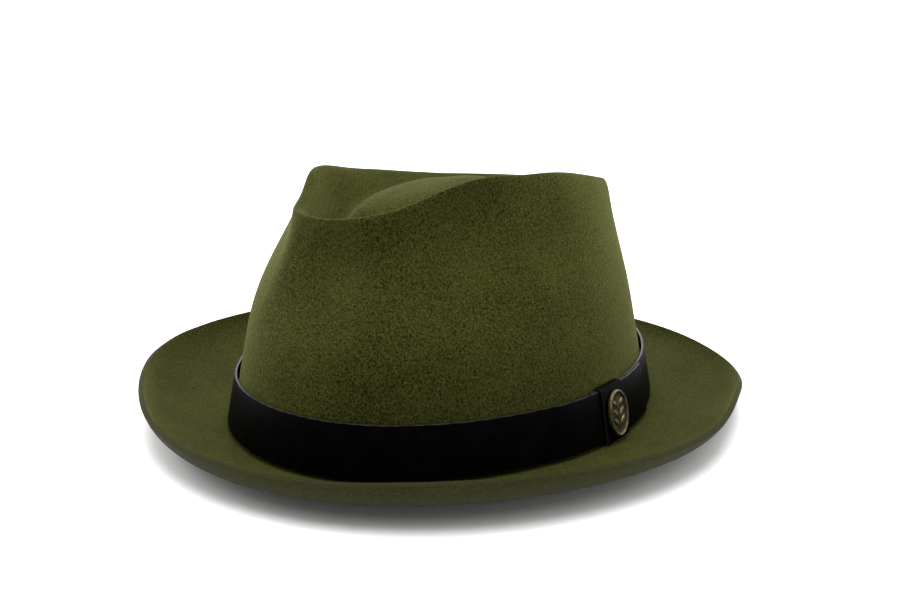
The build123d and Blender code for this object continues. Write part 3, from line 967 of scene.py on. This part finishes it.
def lining_pieces():
    """Satin lining: pleated sides drawn in to an oval tip with a corded seam."""
    columns = lining_pleats * 6
    outside = -felt_thickness - lining_gap
    stops = (                                # height, and how far the satin is drawn in there
        (lining_low, 0), (lining_low + 1, 0), ((lining_low + lining_bend) / 2, 0),
        (lining_bend, -0.1), (lining_bend + 5, -2.9), (lining_bend + 12, -7.4),
        (lining_bend + 19, -12.0), (lining_high - 1.5, -lining_draw + 1.0),
        (lining_high, -lining_draw),
    )

    def pleat(column):
        return cos(2 * pi * column * lining_pleats / columns)

    def side_position(column, row):
        height, draw = stops[row]
        fold = 0.5 + 0.5 * pleat(column)
        depth = pleat_depth * max(height - lining_bend, 0) / (lining_high - lining_bend)
        sag = lining_sag * noise.noise(Vector((column / 9, row / 2, 0)))
        return turned_oval(column / columns, outside + draw - fold * depth - max(sag, 0), height)

    side = stack("lining_side", columns, len(stops), side_position)
    modify(side, "SOLIDIFY", thickness=lining_thickness * MM, offset=-1)
    side.data.materials.append(SATIN)
    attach(side, "hat")
    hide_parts("lining_side")

    edge = outside - lining_draw
    tip_height = lining_high + layer_gap + lining_thickness
    rows = 12

    def tip_position(column, row):
        share = 1 - row / (rows - 1)
        rim = turned_oval(column / columns, edge, lining_high)
        pucker = tip_pucker * pleat(column) * share**8
        crown = tip_crown * (1 - share**2)
        sag = tip_sag * noise.noise(Vector((rim.x * share / 22, rim.y * share / 22, 3)))
        return Vector((rim.x * share, rim.y * share,
                       tip_height + crown + pucker * 0.3 + sag * (1 - share**6)))

    tip = stack("lining_tip", columns, rows, tip_position)
    close_tip(tip)
    modify(tip, "SOLIDIFY", thickness=lining_thickness * MM, offset=-1)

    sides = 8

    def cord_position(column, row):
        angle = 2 * pi * row / sides
        offset = edge - tip_cord_inset + tip_cord_radius * cos(angle)
        point = turned_oval(column / columns, offset, lining_high)
        return Vector((point.x, point.y,
                       lining_high - tip_cord_drop + tip_cord_radius * sin(angle)))

    cord = stack("tip_cord", columns, sides, cord_position, closed=True)
    tip = join([tip, cord], "lining_tip")
    tip.data.materials.append(SATIN)
    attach(tip, "hat")
    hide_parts("lining_tip")


def keep_cad(node, material):
    """A hidden CAD piece keeps its own shape and gets its finish."""
    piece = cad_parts[node]
    piece.data.materials.clear()
    piece.data.materials.append(material)


felt_piece()
band_piece()
keeper_piece()
badge_piece()
sweatband_piece()
stitches_piece()
binding_piece()
seam_tape_piece()
bow_piece()
lining_pieces()
keep_cad("band_tacks", THREAD)
keep_cad("sweatband_reed", PLASTIC)


# ------------------------------------------------------------------ stage
bright_side = (-0.62, 0.72, 0.31)            # the surroundings are brightest behind the right side
fall_off = {"From Min": -0.7, "From Max": 0.8, "To Min": 0.10, "To Max": 1.10}
light_target = (0, 0, 0.05)
softboxes = (                                # name, place and size in metres, power in watts
    ("overhead_softbox", (0.22, -0.24, 1.2), 0.8, 13),
    ("back_softbox", (-0.72, 0.85, 0.7), 0.9, 10),
    ("right_softbox", (-0.95, -0.25, 0.4), 0.7, 5),
    ("left_softbox", (0.75, 0.7, 0.4), 0.7, 2.5),
)
camera_azimuth, camera_elevation, camera_distance = 42, 16.5, 583
aim_right, aim_up = 1.8, 44.1                # the camera looks at a point this far from the break


def studio():
    """Pale floor, white surroundings that dim towards the front, four soft lamps and a
    broad light from the ceiling."""
    bpy.ops.object.select_all(action="DESELECT")
    bpy.ops.mesh.primitive_plane_add(size=30, location=(0, 0, 0))
    floor = bpy.context.object
    floor.name = "floor"
    paper = Graph("paper", Roughness=0.9, Specular_IOR_Level=0.1, Base_Color=(0.93, 0.93, 0.93, 1),
                  Emission_Color=(1, 1, 1, 1), Emission_Strength=0.03)
    floor.data.materials.append(paper.material)

    world = bpy.data.worlds.new("studio")
    bpy.context.scene.world = world
    world.use_nodes = True
    nodes, links = world.node_tree.nodes, world.node_tree.links
    background = nodes["Background"]
    background.inputs["Color"].default_value = (1, 1, 1, 1)
    direction = nodes.new("ShaderNodeTexCoord")
    towards = nodes.new("ShaderNodeVectorMath")
    towards.operation = "DOT_PRODUCT"
    towards.inputs[1].default_value = bright_side
    strength = nodes.new("ShaderNodeMapRange")
    for socket, value in fall_off.items():
        strength.inputs[socket].default_value = value
    links.new(direction.outputs["Generated"], towards.inputs[0])
    links.new(towards.outputs["Value"], strength.inputs["Value"])
    links.new(strength.outputs["Result"], background.inputs["Strength"])

    for name, place_at, size, energy in softboxes:
        bpy.ops.object.light_add(type="AREA", location=place_at)
        lamp = bpy.context.object
        lamp.name = name
        lamp.data.shape = "DISK"
        lamp.data.size = size
        lamp.data.energy = energy
        aim = Vector(light_target) - Vector(place_at)
        lamp.rotation_euler = aim.to_track_quat("-Z", "Y").to_euler()

    bpy.ops.object.light_add(type="SUN", location=(0, 0, 2))
    sky = bpy.context.object
    sky.name = "ceiling_bounce"
    sky.data.energy = 1.5
    sky.data.angle = radians(80)             # a wide disc, for soft shadows
    sky.rotation_euler = (radians(8), radians(6), 0)


def camera():
    """Fifty millimetre lens, a little in front of the hat's left side and above its brim."""
    azimuth, elevation = radians(camera_azimuth), radians(camera_elevation)
    back = Vector((sin(azimuth) * cos(elevation), -cos(azimuth) * cos(elevation), sin(elevation)))
    right = Vector((cos(azimuth), sin(azimuth), 0))
    up = back.cross(right)
    eye = place(right * aim_right + up * aim_up + back * camera_distance)
    data = bpy.data.cameras.new("camera")
    data.lens, data.sensor_width, data.clip_start = 50, 36, 0.01
    view = bpy.data.objects.new("camera", data)
    bpy.context.scene.collection.objects.link(view)
    view.matrix_world = Matrix((
        (right.x, up.x, back.x, eye.x), (right.y, up.y, back.y, eye.y),
        (right.z, up.z, back.z, eye.z), (0, 0, 0, 1),
    ))
    bpy.context.scene.camera = view


studio()
camera()
bpy.context.scene.view_settings.view_transform = "Standard"
bpy.context.view_layer.update()
